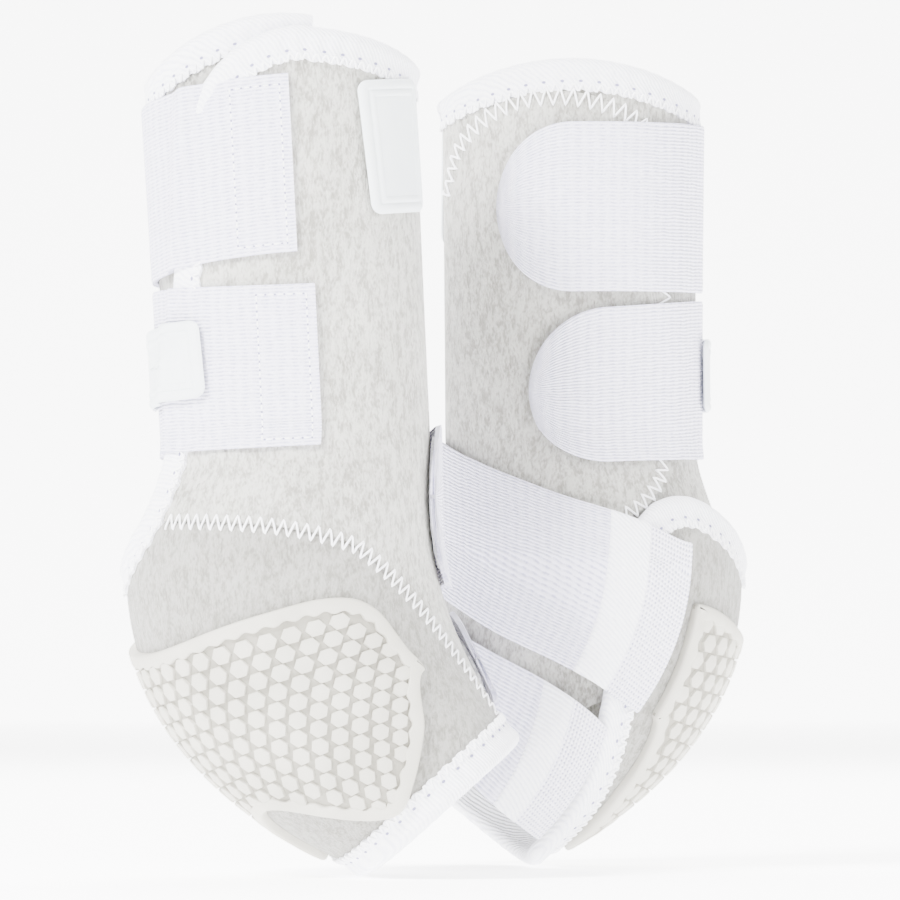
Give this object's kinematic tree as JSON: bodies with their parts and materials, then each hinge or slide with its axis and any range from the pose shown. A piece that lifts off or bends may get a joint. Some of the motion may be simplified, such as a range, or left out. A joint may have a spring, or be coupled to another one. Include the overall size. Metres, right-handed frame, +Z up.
{
  "type": "tendon boots",
  "caption": "Fetlock-support tendon boots for a horse, a standing pair with closing straps, elastic slings and a moulded strike pad.",
  "frame": {"origin": "centre of the pair's footprint on the floor", "axes": "+Z up; +X to the viewer's right; the viewer looks along +Y"},
  "size_m": [0.2182, 0.2152, 0.2927],
  "materials": {
    "brushed_loop_knit": "matte",
    "lining_knit": "matte",
    "ribbed_neoprene": "matte",
    "binding_tape": "matte",
    "stitching": "matte",
    "ribbed_webbing": "matte",
    "woven_elastic": "matte",
    "hook_tape": "matte",
    "cream_rubber": "satin",
    "white_rubber": "satin"
  },
  "bodies": {
    "boots": {"left_sleeve_core": "brushed_loop_knit", "left_sleeve_lining": "lining_knit", "left_sleeve_binding": "binding_tape", "left_loop_facing": "brushed_loop_knit", "left_flap_panel": "brushed_loop_knit", "left_fetlock_cup": "ribbed_neoprene", "left_strike_pad": "cream_rubber", "left_flap_binding": "binding_tape", "left_cup_binding": "binding_tape", "left_seam_tape": "stitching", "left_badge": "white_rubber", "left_upper_strap": "ribbed_webbing", "left_lower_strap": "ribbed_webbing", "left_strap_label": "white_rubber", "left_upper_sling": "ribbed_webbing", "left_upper_sling_elastic": "woven_elastic", "left_lower_sling": "ribbed_webbing", "left_lower_sling_elastic": "woven_elastic", "right_sleeve_core": "brushed_loop_knit", "right_sleeve_lining": "lining_knit", "right_sleeve_binding": "binding_tape", "right_loop_facing": "brushed_loop_knit", "right_flap_panel": "brushed_loop_knit", "right_fetlock_cup": "ribbed_neoprene", "right_strike_pad": "cream_rubber", "right_flap_binding": "binding_tape", "right_cup_binding": "binding_tape", "right_seam_tape": "stitching", "right_badge": "white_rubber", "right_upper_strap": "ribbed_webbing", "right_lower_strap": "ribbed_webbing", "right_strap_label": "white_rubber", "right_upper_sling": "ribbed_webbing", "right_upper_sling_elastic": "woven_elastic", "right_lower_sling": "ribbed_webbing", "right_lower_sling_elastic": "woven_elastic"},
    "left_upper_strap_tab_body": {"left_upper_strap_tab": "ribbed_webbing", "left_upper_hook_patch": "hook_tape"},
    "left_lower_strap_tab_body": {"left_lower_strap_tab": "ribbed_webbing", "left_lower_hook_patch": "hook_tape"},
    "left_upper_sling_tab_body": {"left_upper_sling_tab": "ribbed_webbing", "left_upper_sling_hook": "hook_tape"},
    "left_lower_sling_tab_body": {"left_lower_sling_tab": "ribbed_webbing", "left_lower_sling_hook": "hook_tape"},
    "right_upper_strap_tab_body": {"right_upper_strap_tab": "ribbed_webbing", "right_upper_hook_patch": "hook_tape"},
    "right_lower_strap_tab_body": {"right_lower_strap_tab": "ribbed_webbing", "right_lower_hook_patch": "hook_tape"},
    "right_upper_sling_tab_body": {"right_upper_sling_tab": "ribbed_webbing", "right_upper_sling_hook": "hook_tape"},
    "right_lower_sling_tab_body": {"right_lower_sling_tab": "ribbed_webbing", "right_lower_sling_hook": "hook_tape"}
  },
  "joints": [
    {"name": "left_upper_strap_hinge", "type": "hinge", "parent": "boots", "child": "left_upper_strap_tab_body", "pos_m": [-0.09647, -0.0355, 0.23097], "axis": [-0.062, 0.0022, 0.9981], "range_deg": [0, 110]},
    {"name": "left_lower_strap_hinge", "type": "hinge", "parent": "boots", "child": "left_lower_strap_tab_body", "pos_m": [-0.09331, -0.03523, 0.16979], "axis": [-0.0404, -0.0131, 0.9991], "range_deg": [0, 110]},
    {"name": "left_upper_sling_hinge", "type": "hinge", "parent": "boots", "child": "left_upper_sling_tab_body", "pos_m": [-0.00547, -0.02733, 0.12398], "axis": [-0.0708, -0.0542, 0.996], "range_deg": [0, 100]},
    {"name": "left_lower_sling_hinge", "type": "hinge", "parent": "boots", "child": "left_lower_sling_tab_body", "pos_m": [-0.00602, -0.0146, 0.05969], "axis": [-0.5832, 0.1555, 0.7973], "range_deg": [0, 65]},
    {"name": "right_upper_strap_hinge", "type": "hinge", "parent": "boots", "child": "right_upper_strap_tab_body", "pos_m": [0.08969, 0.0355, 0.23428], "axis": [0.0097, -0.0022, 1], "range_deg": [0, 110]},
    {"name": "right_lower_strap_hinge", "type": "hinge", "parent": "boots", "child": "right_lower_strap_tab_body", "pos_m": [0.08973, 0.03523, 0.17302], "axis": [-0.0119, 0.0131, 0.9998], "range_deg": [0, 110]},
    {"name": "right_upper_sling_hinge", "type": "hinge", "parent": "boots", "child": "right_upper_sling_tab_body", "pos_m": [0.0044, 0.02733, 0.12267], "axis": [0.0186, 0.0542, 0.9984], "range_deg": [0, 100]},
    {"name": "right_lower_sling_hinge", "type": "hinge", "parent": "boots", "child": "right_lower_sling_tab_body", "pos_m": [0.00832, 0.0146, 0.0585], "axis": [0.5406, -0.1555, 0.8268], "range_deg": [0, 65]}
  ]
}
